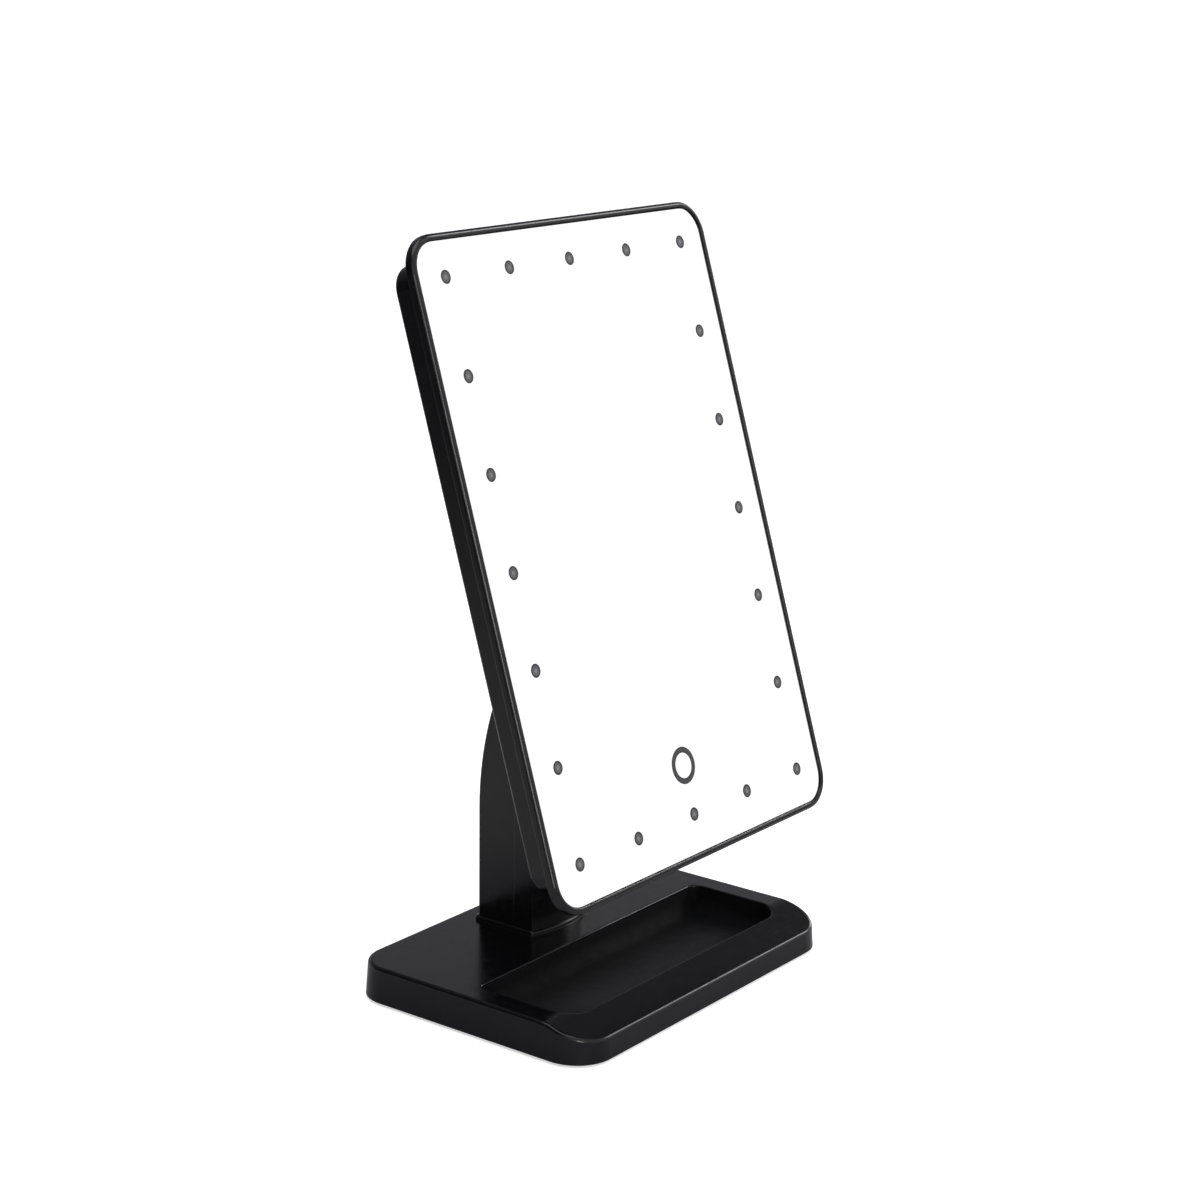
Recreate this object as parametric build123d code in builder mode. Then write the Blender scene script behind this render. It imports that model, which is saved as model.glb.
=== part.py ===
from build123d import *
import math
import os

# Countertop mirror with a ring of LED windows, a tilting head on a curved neck, and a tray base.
# Origin: centre of the base outline at the level the rubber feet stand on.
# +X to the right of a person looking into the mirror, +Y away from them, +Z up. Millimetres.

os.makedirs("parts", exist_ok=True)

# ---------------------------------------------------------------- base
FOOT_GAP = 1.0          # base shell stands this far above the table
BASE_W = 157.0
BASE_D = 111.0
BASE_R = 15.0
BASE_TOP = 14.5         # height of the flat part
BASE_DRAFT = 4.0
BASE_WALL = 2.2
SLOPE_START_Y = -37.0   # the front rim falls away from here
TRAY_W = 135.0
TRAY_REAR_Y = 2.0
TRAY_FRONT_Y = -40.5
TRAY_FLOOR = 4.6
TRAY_WALL = 1.6
TRAY_R_REAR = 3.5
TRAY_R_FRONT = 10.0
PLATE_T = 1.6
PLATE_TOP = FOOT_GAP + PLATE_T
RUBBER_R = 6.0
RUBBER_T = 1.6
RUBBER_AT = [(-63.0, -41.0), (63.0, -41.0), (-63.0, 41.0), (63.0, 41.0)]
BASE_SCREW_REAR = [(-44.0, 45.5), (44.0, 45.5)]
BASE_SCREW_FRONT = [(-44.0, -47.0), (44.0, -47.0)]
BASE_EDGE_R = 1.4
SLOPE = 0.28            # fall of the front rim
SLOPE_BLEND = 22.0
RIM_CEILING = 7.0
TRAY_DRAFT = 2.0
SOCKET_WALL = 1.8
BOSS_R = 3.5
SCREW_SHANK_R = 1.4
SCREW_HEAD_R = 2.7
SCREW_HEAD_H = 1.8
HEAD_FIT = 0.2
TENON_SCREW_LEN = 9.0
TENON_HEAD_H = 1.7
BASE_SCREW_LEN = 8.0
PLATE_FIT = 0.25
TRAY_COVE_R = 6.0       # hollow curve between the tray's walls and its floor
TRAY_MOUTH_R = 0.6
MOUTH_REACH = 3.0
COLLAR_EDGE_R = 0.9
COLLAR_T = 1.2
COLLAR_H = 1.8
BURY = 0.5              # how far a raised feature reaches into what carries it
RIB_T = 1.5
SIDE_RIB_LEN = 36.0
SIDE_RIB_X = 30.0
SIDE_RIB_Y = 26.0
CROSS_RIB_Y = 12.0
SMALL_R = 0.4

# cross recess in the screw heads
CROSS_LEN = 2.6
CROSS_W = 0.6
CROSS_DEPTH = 0.8
TIP_GAP = 0.3           # screw tip to the bottom of its hole

# ---------------------------------------------------------------- neck
HINGE_Y = 9.4
HINGE_Z = 142.4
NECK_HALF = 16.5
CROWN = 2.9             # how far the front and back faces fall away towards the sides
NECK_FRONT_Y = 15.0
NECK_REAR_Y = 47.3
NECK_FRONT_BEND_Z = 80.0
NECK_REAR_BEND_Z = 60.0
FOOT_FRONT = NECK_FRONT_Y + CROWN
FOOT_REAR = NECK_REAR_Y - CROWN
KNUCKLE_R = 8.2
NECK_WALL = 2.2
NECK_EDGE_R = 0.7
NECK_HOLLOW_LOW = 19.0
NECK_HOLLOW_LEN = 95.0
COLUMN_REACH = 17.0     # screw columns either side of the joint line
COLUMN_FRONT = 8.2
COLUMN_HEAD = 6.0
COLUMN_R = 4.0
COLUMN_CAP = 1.0        # closed front end of each column
SEAM_Y = 27.0
SEAM_BEND_Z = 50.0
SOCKET_FLOOR = 6.8
TENON_X = 12.0
TENON_R = 2.0
TENON_FRONT = 20.5
TENON_REAR = 41.0
TENON_SCREWS = [(-7.0, 24.0), (7.0, 24.0), (-7.0, 36.0), (7.0, 36.0)]
NECK_SCREW_Z = [38.0, 96.0]

# ---------------------------------------------------------------- hinge
EYE_R = 5.8
EYE_HALF = 9.0
SLOT_FIT = 0.4
CHEEK_IN = 9.6
AXLE_R = 2.5
AXLE_FIT = 0.05
AXLE_HEAD_R = 4.3
WASHER_T = 0.5
NUT_AF = 8.0
NUT_RECESS = 0.2
AXLE_EDGE = 0.5
WASHER_R = 5.6
POCKET_IN = 11.6
POCKET_OUT = 14.0
SWING_LOW = -8.0        # slot in the knuckle, measured from the level, arm pointing forward
SWING_HIGH = 78.0

# ---------------------------------------------------------------- head
TILT = 17.0             # rest angle of the head, leaning back
AXIS_DEPTH = 32.5       # hinge axis behind the front of the frame
AXIS_DROP = 21.0        # hinge axis below the middle of the frame
FRAME_W = 170.0
FRAME_H = 240.0
FRAME_R = 13.0
FRAME_T = 3.6
BORDER = 2.4
FRAME_EDGE_R = 1.5
FRAME_BACK_EDGE_R = 0.4
LIP_R = 0.4             # inner edge of the border, next to the glass
GLASS_GAP = 0.1
GLASS_FRONT = 0.8
GLASS_T = 1.6
GLASS_EDGE = 0.25
PANEL_FRONT = 2.6
GLASS_W = FRAME_W - 2 * (BORDER + GLASS_GAP)
GLASS_H = FRAME_H - 2 * (BORDER + GLASS_GAP)
GLASS_R = FRAME_R - BORDER - GLASS_GAP
TAPE_W = 163.0
TAPE_H = 233.0
TAPE_BAND = 8.0
TAPE_R = 9.0
PITCH_X = 34.25
PITCH_Y = 34.65
COLUMNS = 5
ROWS = 7
GRID_RISE = 0.7         # the windows sit this far above the middle of the frame
WINDOW_R = 2.5
PANEL_HOLE_R = 3.6
RING_Y = -84.8
RING_OUT = 6.9
RING_IN = 4.7
RING_T = 0.4
INSET_X = 4.8           # rear housing, in from the frame at the sides
INSET_Y = 8.3           # and at the top and bottom
HOUSING_R = 9.0
HOUSING_BACK = 14.8
HOUSING_WALL = 2.0
HOUSING_W = FRAME_W - 2 * INSET_X
HOUSING_H = FRAME_H - 2 * INSET_Y
CASE_IN_W = HOUSING_W - 2 * HOUSING_WALL
CASE_IN_H = HOUSING_H - 2 * HOUSING_WALL
HOUSING_EDGE_R = 1.5
BACK_INNER = HOUSING_BACK - HOUSING_WALL
CASE_HEAD_H = 1.2
CASE_HEAD_SINK = 0.1
SKIRT_T = 1.4
SKIRT_END = 6.6
SKIRT_FIT = 0.15
SKIRT_W = HOUSING_W - 2 * (HOUSING_WALL + SKIRT_FIT)
SKIRT_H = HOUSING_H - 2 * (HOUSING_WALL + SKIRT_FIT)
SKIRT_R = HOUSING_R - HOUSING_WALL - SKIRT_FIT
CASE_SCREW_LEN = 7.0
CASE_SCREWS = [(-54.0, -84.0), (54.0, -84.0), (-54.0, 0.0), (54.0, 0.0), (-54.0, 84.0), (54.0, 84.0)]
LED_PCB_FRONT = 5.0
LED_PCB_T = 1.2
LED_PCB_W = 151.0
LED_PCB_H = 214.4
LED_PCB_BAND = 14.0
LED_PCB_R = 6.0
LED_PCB_IN_W = LED_PCB_W - 2 * LED_PCB_BAND
LED_PCB_IN_H = LED_PCB_H - 2 * LED_PCB_BAND
LED_W = 3.5
LED_H = 2.8
LED_T = 0.9
LED_WELL_R = 1.2
POST_R = 2.0
LED_RIB_R = 1.6
TOUCH_HOLE_R = 8.0
TOUCH_SPRING_R = 4.6
CONTROL_Y = -77.5
CONTROL_W = 46.0
CONTROL_H = 33.0
CONTROL_R = 1.5
CONTROL_FRONT = 6.6
CONTROL_T = 1.2
CONTROL_BACK = CONTROL_FRONT + CONTROL_T
CONTROL_POSTS = [(-20.0, -89.5), (20.0, -89.5), (-20.0, -64.0), (20.0, -64.0)]
SPRING_WIRE_R = 0.3
TOUCH_SPRING_LEN = CONTROL_FRONT - GLASS_FRONT - GLASS_T
TOUCH_TURNS = 3
# parts on the back of the control board, placed from its middle
CHIPS = [(-10.0, 5.0, 5.0, 4.0), (8.0, -8.0, 4.0, 5.0)]
CHIP_H = 1.5
INDUCTOR_AT = (2.0, 6.0)
INDUCTOR_W = 6.0
HEADER_AT = (16.0, 8.0)
HEADER_W = 7.5
HEADER_D = 5.0
TALL_H = 3.0
CAPACITORS = [(-14.0, -7.0), (-6.0, -7.0)]
CAPACITOR_R = 2.5
CAPACITOR_H = 4.0
RESISTORS = [(-2.0, -2.0), (2.0, -2.0), (14.0, -3.0), (14.0, -11.0), (-18.0, 4.0), (-18.0, 9.0)]
RESISTOR_W = 2.0
RESISTOR_D = 1.2
RESISTOR_H = 0.8

# battery pod on the back of the head
POD_HALF = 36.0
POD_LOW = -37.0
POD_HIGH = 64.0
POD_BACK = 24.0
POD_R = 4.0
POD_WALL = 2.0
POD_EDGE_R = 1.5
POD_MID = (POD_LOW + POD_HIGH) / 2
BAY_HALF = 30.6
BAY_LOW = 2.0
BAY_HIGH = 59.6
BAY_FLOOR = 7.4
BAY_WALL = 1.6
BAY_MID = (BAY_LOW + BAY_HIGH) / 2
CELL_R = 7.1
CELL_LEN = 50.5
CELL_EDGE = 0.6
NUB_R = 2.75
NUB_LEN = 1.0
CELL_PITCH = 15.2
CELL_DEPTH = 14.6
CONTACT_HALF = 5.5
BATTERY_SPRING_R = 3.4
BATTERY_TURNS = 4
STRIP_W = 4.0
CONTACT_T = 0.4
DOOR_HALF = 31.9
DOOR_T = 1.8
DOOR_GAP = 0.3
GRIP_LEN = 24.0
GRIP_W = 1.2
GRIP_PITCH = 3.0
GRIP_DEPTH = 0.6
GRIP_Y = 14.0
ARROW_R = 3.6
ARROW_Y = 28.0
TONGUE_HALF = 33.7
TONGUE_T = 0.8
DOOR_INNER = POD_BACK - DOOR_T
DOOR_LOW = 1.0
DOOR_LEN = POD_HIGH - DOOR_LOW
DOOR_MID = (POD_HIGH + DOOR_LOW) / 2
DOOR_SLOT_LEN = DOOR_LEN + DOOR_GAP + 2.0
DOOR_SLOT_MID = DOOR_LOW - DOOR_GAP + DOOR_SLOT_LEN / 2
PLATE_HALF = 18.0
PLATE_RISE = 13.0
ARM_PLATE_T = 2.4
ARM_SCREW_LEN = 9.0
ARM_SCREW_HEAD_R = 2.5
ARM_PLATE_R = 2.0
SEAT_MARGIN = 3.0
ARM_SCREWS = [(-14.0, 9.0), (14.0, 9.0), (-14.0, -9.0), (14.0, -9.0)]

# power switch
SWITCH_X = 48.0
SWITCH_Y = -56.0
SWITCH_TRAVEL = 4.0
SWITCH_W = 12.0
SWITCH_H = 7.0
SWITCH_FRONT = 7.4
SWITCH_CAVITY = 10.4
SWITCH_DISH_W = 15.0
SWITCH_DISH_H = 8.0
SWITCH_DISH_DEPTH = 0.8
LEG_PITCH = 3.0
LEG_W = 0.8
LEG_T = 0.5
LEG_LEN = 1.6
KNOB_W = 3.2
KNOB_H = 3.0
KNOB_BACK = 16.0
FLANGE_W = 4.6
FLANGE_H = 4.2
FLANGE_T = 0.9
KNOB_GROOVE = 0.4
KNOB_GROOVE_PITCH = 1.0
WIRE_DEPTH = 9.6
WIRE_R = 0.6
# wires inside the head: battery to switch, switch to board, battery to board, board to LEDs
WIRE_RUNS = [
    [(33.6, 6.0), (41.0, -6.0), (44.0, -30.0), (48.0, -49.0)],
    [(41.2, -56.0), (34.0, -58.0), (29.0, -66.0), (24.2, -68.0)],
    [(-33.6, 6.0), (-40.0, -8.0), (-36.0, -50.0), (-24.2, -68.0)],
    [(24.2, -86.0), (30.0, -87.0), (36.0, -90.0), (40.0, -96.0)],
]

T = math.radians(TILT)
UP = Vector(0, math.sin(T), math.cos(T))
BACK = Vector(0, math.cos(T), -math.sin(T))
CENTRE = Vector(0, HINGE_Y, HINGE_Z) - BACK * AXIS_DEPTH + UP * AXIS_DROP


def save(builder, name):
    builder.part.label = name
    export_step(builder.part, "parts/" + name + ".step")


def head(depth, x=0.0, y=0.0):
    """Plane parallel to the glass, facing forward, this far behind the frame's front."""
    origin = CENTRE + BACK * depth + UP * y + Vector(x, 0, 0)
    return Plane(origin=origin, x_dir=(1, 0, 0), z_dir=-BACK)


def slab(depth_front, depth_back):
    """Extrude the pending sketch backwards from its plane."""
    extrude(amount=depth_front - depth_back)


def on_rim(edge):
    """True for the edges that run round the outside of the base's top."""
    box = edge.bounding_box()
    side = min(abs(box.min.X), abs(box.max.X)) > BASE_W / 2 - BASE_R - 0.5
    front = box.max.Y < -BASE_D / 2 + BASE_R
    rear = box.min.Y > BASE_D / 2 - BASE_R
    return side or front or rear


def led_spots():
    spots = []
    for column in range(COLUMNS):
        for row in range(ROWS):
            if column in (0, COLUMNS - 1) or row in (0, ROWS - 1):
                x = (column - (COLUMNS - 1) / 2) * PITCH_X
                y = (row - (ROWS - 1) / 2) * PITCH_Y + GRID_RISE
                spots.append((x, y))
    return spots


def post_spots():
    """Supports for the LED board, midway between windows."""
    edge_x = (COLUMNS - 1) / 2 * PITCH_X
    edge_y = (ROWS - 1) / 2 * PITCH_Y
    spots = []
    for side in (-1, 1):
        for level in (-2.5, -0.5, 0.5, 2.5):
            spots.append((side * edge_x, level * PITCH_Y + GRID_RISE))
        for level in (-0.5, 0.5):
            spots.append((level * PITCH_X, side * edge_y + GRID_RISE))
    return spots


# ================================================================ outlines
with BuildSketch() as base_outline:
    RectangleRounded(BASE_W, BASE_D, BASE_R)

with BuildSketch() as base_inside:
    RectangleRounded(BASE_W - 2 * BASE_WALL, BASE_D - 2 * BASE_WALL, BASE_R - BASE_WALL)

with BuildSketch() as tray_outline:
    with Locations((0, (TRAY_REAR_Y + TRAY_FRONT_Y) / 2)):
        Rectangle(TRAY_W, TRAY_REAR_Y - TRAY_FRONT_Y)
    fillet(tray_outline.vertices().group_by(Axis.Y)[0], TRAY_R_FRONT)
    fillet(tray_outline.vertices().group_by(Axis.Y)[-1], TRAY_R_REAR)

with BuildSketch() as cross_slot:
    Rectangle(CROSS_LEN, CROSS_W)
    Rectangle(CROSS_W, CROSS_LEN)

# plan of the neck where it meets the base: flat sides, bowed front and back
with BuildSketch() as foot_outline:
    with BuildLine():
        ThreePointArc((-NECK_HALF, FOOT_FRONT), (0, NECK_FRONT_Y), (NECK_HALF, FOOT_FRONT))
        Line((NECK_HALF, FOOT_FRONT), (NECK_HALF, FOOT_REAR))
        ThreePointArc((NECK_HALF, FOOT_REAR), (0, NECK_REAR_Y), (-NECK_HALF, FOOT_REAR))
        Line((-NECK_HALF, FOOT_REAR), (-NECK_HALF, FOOT_FRONT))
    make_face()

with BuildSketch() as tenon_outline:
    with Locations((0, (TENON_FRONT + TENON_REAR) / 2)):
        RectangleRounded(2 * TENON_X, TENON_REAR - TENON_FRONT, TENON_R)


# ================================================================ space inside the tray
def cove_outline(wall):
    """Filling between a wall and the floor, seen along the wall: the outline lies to the right of it.

    The wall's top is this far from the middle of the tray. Its hollow side is an arc that runs from
    the floor into the leaning wall; the rest lies outside the tray.
    """
    lean = math.radians(TRAY_DRAFT)
    foot = wall - (BASE_TOP - TRAY_FLOOR) * math.tan(lean)
    reach = TRAY_COVE_R * math.tan((math.pi / 2 - lean) / 2)
    centre = Vector(foot - reach, TRAY_FLOOR + TRAY_COVE_R)
    turn = (math.pi / 2 - lean) / 2
    middle = centre + Vector(math.sin(turn), -math.cos(turn)) * TRAY_COVE_R
    top = Vector(foot, TRAY_FLOOR) + Vector(math.sin(lean), math.cos(lean)) * reach
    outside = wall + TRAY_COVE_R
    with BuildSketch() as outline:
        with BuildLine():
            ThreePointArc((centre.X, TRAY_FLOOR), (middle.X, middle.Y), (top.X, top.Y))
            Polyline(
                (top.X, top.Y),
                (outside, top.Y),
                (outside, TRAY_FLOOR - TRAY_WALL),
                (centre.X, TRAY_FLOOR - TRAY_WALL),
                (centre.X, TRAY_FLOOR),
            )
        make_face()
    return outline.sketch


with BuildPart() as tray_space:
    with BuildSketch(Plane.XY.offset(BASE_TOP)):
        add(tray_outline.sketch)
    extrude(amount=TRAY_FLOOR - BASE_TOP, taper=TRAY_DRAFT)
    middle_y = (TRAY_REAR_Y + TRAY_FRONT_Y) / 2
    for across, wall in (
        ((1, 0, 0), TRAY_W / 2),
        ((-1, 0, 0), TRAY_W / 2),
        ((0, 1, 0), TRAY_REAR_Y - middle_y),
        ((0, -1, 0), TRAY_REAR_Y - middle_y),
    ):
        side = Vector(*across)
        with BuildSketch(Plane(origin=(0, middle_y, 0), x_dir=side, z_dir=side.cross(Vector(0, 0, 1)))):
            add(cove_outline(wall))
        extrude(amount=TRAY_W, both=True, mode=Mode.SUBTRACT)

# ================================================================ base shell
with BuildPart() as base_shell:
    with BuildSketch(Plane.XY.offset(FOOT_GAP)):
        add(base_outline.sketch)
    extrude(amount=BASE_TOP - FOOT_GAP, taper=BASE_DRAFT)
    # hollow underside, with a lower ceiling beneath the sloped rim
    with BuildSketch(Plane.XY.offset(FOOT_GAP)):
        add(base_inside.sketch)
        with Locations((0, SLOPE_START_Y + 3.0 - BASE_D / 2)):
            Rectangle(BASE_W, BASE_D, mode=Mode.SUBTRACT)
    extrude(amount=BASE_TOP - BASE_WALL - FOOT_GAP, taper=BASE_DRAFT, mode=Mode.SUBTRACT)
    with BuildSketch(Plane.XY.offset(FOOT_GAP)):
        add(base_inside.sketch)
        with Locations((0, SLOPE_START_Y + 4.0 + BASE_D / 2)):
            Rectangle(BASE_W, BASE_D, mode=Mode.SUBTRACT)
    extrude(amount=RIM_CEILING - FOOT_GAP, mode=Mode.SUBTRACT)
    # tray tub
    with BuildSketch(Plane.XY.offset(TRAY_FLOOR - TRAY_WALL)):
        add(tray_outline.sketch)
        offset(amount=TRAY_WALL)
    extrude(amount=BASE_TOP - BURY - TRAY_FLOOR + TRAY_WALL)
    # socket walls for the neck
    with BuildSketch(Plane.XY.offset(SOCKET_FLOOR - SOCKET_WALL)):
        add(tenon_outline.sketch)
        offset(amount=SOCKET_WALL)
    extrude(amount=BASE_TOP - BURY - SOCKET_FLOOR + SOCKET_WALL)
    # screw bosses for the bottom plate
    with BuildSketch(Plane.XY.offset(PLATE_TOP)):
        with Locations(*BASE_SCREW_REAR):
            Circle(BOSS_R)
    extrude(amount=BASE_TOP - BASE_WALL / 2 - PLATE_TOP)
    with BuildSketch(Plane.XY.offset(PLATE_TOP)):
        with Locations(*BASE_SCREW_FRONT):
            Circle(BOSS_R)
    extrude(amount=RIM_CEILING + BURY - PLATE_TOP)
    # sloped front rim
    with BuildSketch(Plane.YZ):
        with BuildLine():
            Polyline(
                (SLOPE_START_Y, BASE_TOP),
                (-BASE_D, BASE_TOP - SLOPE * (BASE_D + SLOPE_START_Y)),
                (-BASE_D, 2 * BASE_TOP),
                (SLOPE_START_Y, 2 * BASE_TOP),
                close=True,
            )
        make_face()
    extrude(amount=BASE_W, both=True, mode=Mode.SUBTRACT)
    # soften the crease where the rim starts to fall
    crease = base_shell.edges().filter_by(Axis.X)
    crease = crease.filter_by_position(Axis.Y, SLOPE_START_Y - 0.01, SLOPE_START_Y + 0.01)
    fillet(crease.group_by(Axis.Z)[-1], SLOPE_BLEND)
    # rounded outer top edge
    top_rim = base_shell.faces().filter_by(lambda f: f.normal_at().Z > 0.5)
    top_rim = top_rim.filter_by(lambda f: f.bounding_box().min.Z > TRAY_FLOOR)
    rim_edges = top_rim.edges().filter_by(lambda e: on_rim(e))
    fillet(rim_edges, BASE_EDGE_R)
    # tray recess, with a fine radius round its mouth
    add(tray_space.part, mode=Mode.SUBTRACT)
    mouth = base_shell.edges().filter_by_position(Axis.Z, BASE_TOP - MOUTH_REACH, BASE_TOP + 0.01)
    mouth = mouth.filter_by_position(Axis.X, -TRAY_W / 2 - 0.05, TRAY_W / 2 + 0.05)
    mouth = mouth.filter_by_position(Axis.Y, TRAY_FRONT_Y - 0.05, TRAY_REAR_Y + 0.05)
    fillet(mouth, TRAY_MOUTH_R)
    # raised collar the neck drops into
    with BuildSketch(Plane.XY.offset(BASE_TOP - BURY)):
        add(foot_outline.sketch)
        offset(amount=COLLAR_T, kind=Kind.INTERSECTION)
        fillet(vertices(), COLLAR_T)
    extrude(amount=COLLAR_H + BURY)
    collar_top = base_shell.faces().sort_by(Axis.Z)[-1]
    fillet(collar_top.edges(), COLLAR_EDGE_R)
    with BuildSketch(Plane.XY.offset(BASE_TOP)):
        add(foot_outline.sketch)
    extrude(amount=COLLAR_H + 1.0, mode=Mode.SUBTRACT)
    # socket for the neck's tenon, with screw holes through its floor
    with BuildSketch(Plane.XY.offset(SOCKET_FLOOR)):
        add(tenon_outline.sketch)
    extrude(amount=BASE_TOP + 1.0 - SOCKET_FLOOR, mode=Mode.SUBTRACT)
    with BuildSketch(Plane.XY.offset(SOCKET_FLOOR - SOCKET_WALL)):
        with Locations(*TENON_SCREWS):
            Circle(SCREW_SHANK_R)
    extrude(amount=SOCKET_WALL, mode=Mode.SUBTRACT)
    with BuildSketch(Plane.XY.offset(PLATE_TOP)):
        with Locations(*BASE_SCREW_REAR):
            Circle(SCREW_SHANK_R)
    extrude(amount=BASE_SCREW_LEN, mode=Mode.SUBTRACT)
    with BuildSketch(Plane.XY.offset(PLATE_TOP)):
        with Locations(*BASE_SCREW_FRONT):
            Circle(SCREW_SHANK_R)
    extrude(amount=RIM_CEILING - PLATE_TOP, mode=Mode.SUBTRACT)
save(base_shell, "base_shell")

# ================================================================ base plate, feet and screws
with BuildPart() as base_plate:
    with BuildSketch(Plane.XY.offset(FOOT_GAP)):
        add(base_inside.sketch)
        offset(amount=-PLATE_FIT)
    extrude(amount=PLATE_T)
    fillet(base_plate.faces().sort_by(Axis.Z)[0].outer_wire().edges(), SMALL_R)
    with BuildSketch(Plane.XY.offset(FOOT_GAP)):
        with Locations(*RUBBER_AT):
            Circle(RUBBER_R)
    extrude(amount=RUBBER_T - FOOT_GAP, mode=Mode.SUBTRACT)
    with Locations(*[(x, y, FOOT_GAP) for x, y in BASE_SCREW_REAR + BASE_SCREW_FRONT]):
        with Locations(Rotation(180, 0, 0)):
            CounterSinkHole(SCREW_SHANK_R, SCREW_HEAD_R, depth=PLATE_T)
    # stiffening ribs on the inside
    with BuildSketch(Plane.XY.offset(PLATE_TOP)):
        with Locations((-SIDE_RIB_X, SIDE_RIB_Y), (SIDE_RIB_X, SIDE_RIB_Y)):
            Rectangle(RIB_T, SIDE_RIB_LEN)
        with Locations((0, CROSS_RIB_Y)):
            Rectangle(2 * SIDE_RIB_X, RIB_T)
    extrude(amount=RIB_T)
save(base_plate, "base_plate")

with BuildPart() as rubber_feet:
    with BuildSketch():
        with Locations(*RUBBER_AT):
            Circle(RUBBER_R)
    extrude(amount=RUBBER_T)
    fillet(rubber_feet.edges().group_by(Axis.Z)[0], SMALL_R)
save(rubber_feet, "rubber_feet")

# countersunk screws, heads flush with the underside of the plate
with BuildPart() as base_screws:
    for spots, length in ((BASE_SCREW_REAR, BASE_SCREW_LEN), (BASE_SCREW_FRONT, RIM_CEILING - PLATE_TOP)):
        with BuildSketch(Plane.XY.offset(FOOT_GAP)):
            with Locations(*spots):
                Circle(SCREW_HEAD_R)
        extrude(amount=SCREW_HEAD_R - SCREW_SHANK_R, taper=45)
        with BuildSketch(Plane.XY.offset(FOOT_GAP)):
            with Locations(*spots):
                Circle(SCREW_SHANK_R)
        extrude(amount=PLATE_T + length - TIP_GAP)
    with BuildSketch(Plane.XY.offset(FOOT_GAP)):
        with Locations(*(BASE_SCREW_REAR + BASE_SCREW_FRONT)):
            add(cross_slot.sketch)
    extrude(amount=CROSS_DEPTH, mode=Mode.SUBTRACT)
save(base_screws, "base_screws")


# ================================================================ neck
def neck_profile(inset):
    """Side view of the neck in the YZ plane; the inset grows towards the flat sides."""
    front = NECK_FRONT_Y + inset
    rear = NECK_REAR_Y - inset
    knuckle = KNUCKLE_R - inset
    front_y = HINGE_Y - front
    front_z = HINGE_Z - NECK_FRONT_BEND_Z
    front_r = (front_y**2 + front_z**2 - knuckle**2) / (2 * (knuckle - front_y))
    rear_y = HINGE_Y - rear
    rear_z = HINGE_Z - NECK_REAR_BEND_Z
    rear_r = (rear_y**2 + rear_z**2 - knuckle**2) / (-2 * (rear_y + knuckle))
    front_centre = Vector(front - front_r, NECK_FRONT_BEND_Z)
    rear_centre = Vector(rear - rear_r, NECK_REAR_BEND_Z)
    axis = Vector(HINGE_Y, HINGE_Z)
    front_touch = axis + (front_centre - axis).normalized() * knuckle
    rear_touch = axis + (axis - rear_centre).normalized() * knuckle
    crown_top = axis + Vector(-0.35, 1.0).normalized() * knuckle
    front_rise = (front_touch.Y - NECK_FRONT_BEND_Z) / 2
    front_mid = front_centre + Vector(math.sqrt(front_r**2 - front_rise**2), front_rise)
    rear_rise = (rear_touch.Y - NECK_REAR_BEND_Z) / 2
    rear_mid = rear_centre + Vector(math.sqrt(rear_r**2 - rear_rise**2), rear_rise)
    return {
        "foot_front": (front, BASE_TOP),
        "front_bend": (front, NECK_FRONT_BEND_Z),
        "front_mid": (front_mid.X, front_mid.Y),
        "front_touch": (front_touch.X, front_touch.Y),
        "top": (crown_top.X, crown_top.Y),
        "rear_touch": (rear_touch.X, rear_touch.Y),
        "rear_mid": (rear_mid.X, rear_mid.Y),
        "rear_bend": (rear, NECK_REAR_BEND_Z),
        "foot_rear": (rear, BASE_TOP),
    }


def neck_section(inset):
    """Closed side outline as a sketch in its own XY plane (Y across, Z up)."""
    p = neck_profile(inset)
    with BuildSketch() as section:
        with BuildLine():
            Line(p["foot_front"], p["front_bend"])
            ThreePointArc(p["front_bend"], p["front_mid"], p["front_touch"])
            ThreePointArc(p["front_touch"], p["top"], p["rear_touch"])
            ThreePointArc(p["rear_touch"], p["rear_mid"], p["rear_bend"])
            Line(p["rear_bend"], p["foot_rear"])
            Line(p["foot_rear"], p["foot_front"])
        make_face()
    return section.sketch


CROWN_STEPS = [-1.0, -0.5, 0.0, 0.5, 1.0]
neck_sections = [neck_section(CROWN * step**2) for step in CROWN_STEPS]

with BuildPart() as neck_body:
    for step, section in zip(CROWN_STEPS, neck_sections):
        with BuildSketch(Plane.YZ.offset(step * NECK_HALF)):
            add(section)
    loft()
    # soften the long edges between the bowed faces and the flat sides
    side_edges = neck_body.faces().filter_by(Axis.X).edges()
    fillet(side_edges.filter_by_position(Axis.Z, BASE_TOP + 0.1, 2 * HINGE_Z), NECK_EDGE_R)

# side view of everything in front of the joint line between the two neck shells
seam_r = ((SEAM_Y - HINGE_Y) ** 2 + (HINGE_Z - SEAM_BEND_Z) ** 2) / (2 * (SEAM_Y - HINGE_Y))
seam_angle = math.asin((HINGE_Z - SEAM_BEND_Z) / seam_r)
seam_centre = Vector(SEAM_Y - seam_r, SEAM_BEND_Z)
seam_mid = seam_centre + Vector(math.cos(seam_angle / 2), math.sin(seam_angle / 2)) * seam_r
seam_end = Vector(HINGE_Y, HINGE_Z) + Vector(-math.sin(seam_angle), math.cos(seam_angle)) * 3 * KNUCKLE_R


def seam_at(z):
    """Y of the joint line between the shells at this height."""
    return SEAM_Y - seam_r + math.sqrt(seam_r**2 - max(z - SEAM_BEND_Z, 0.0) ** 2)


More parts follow.
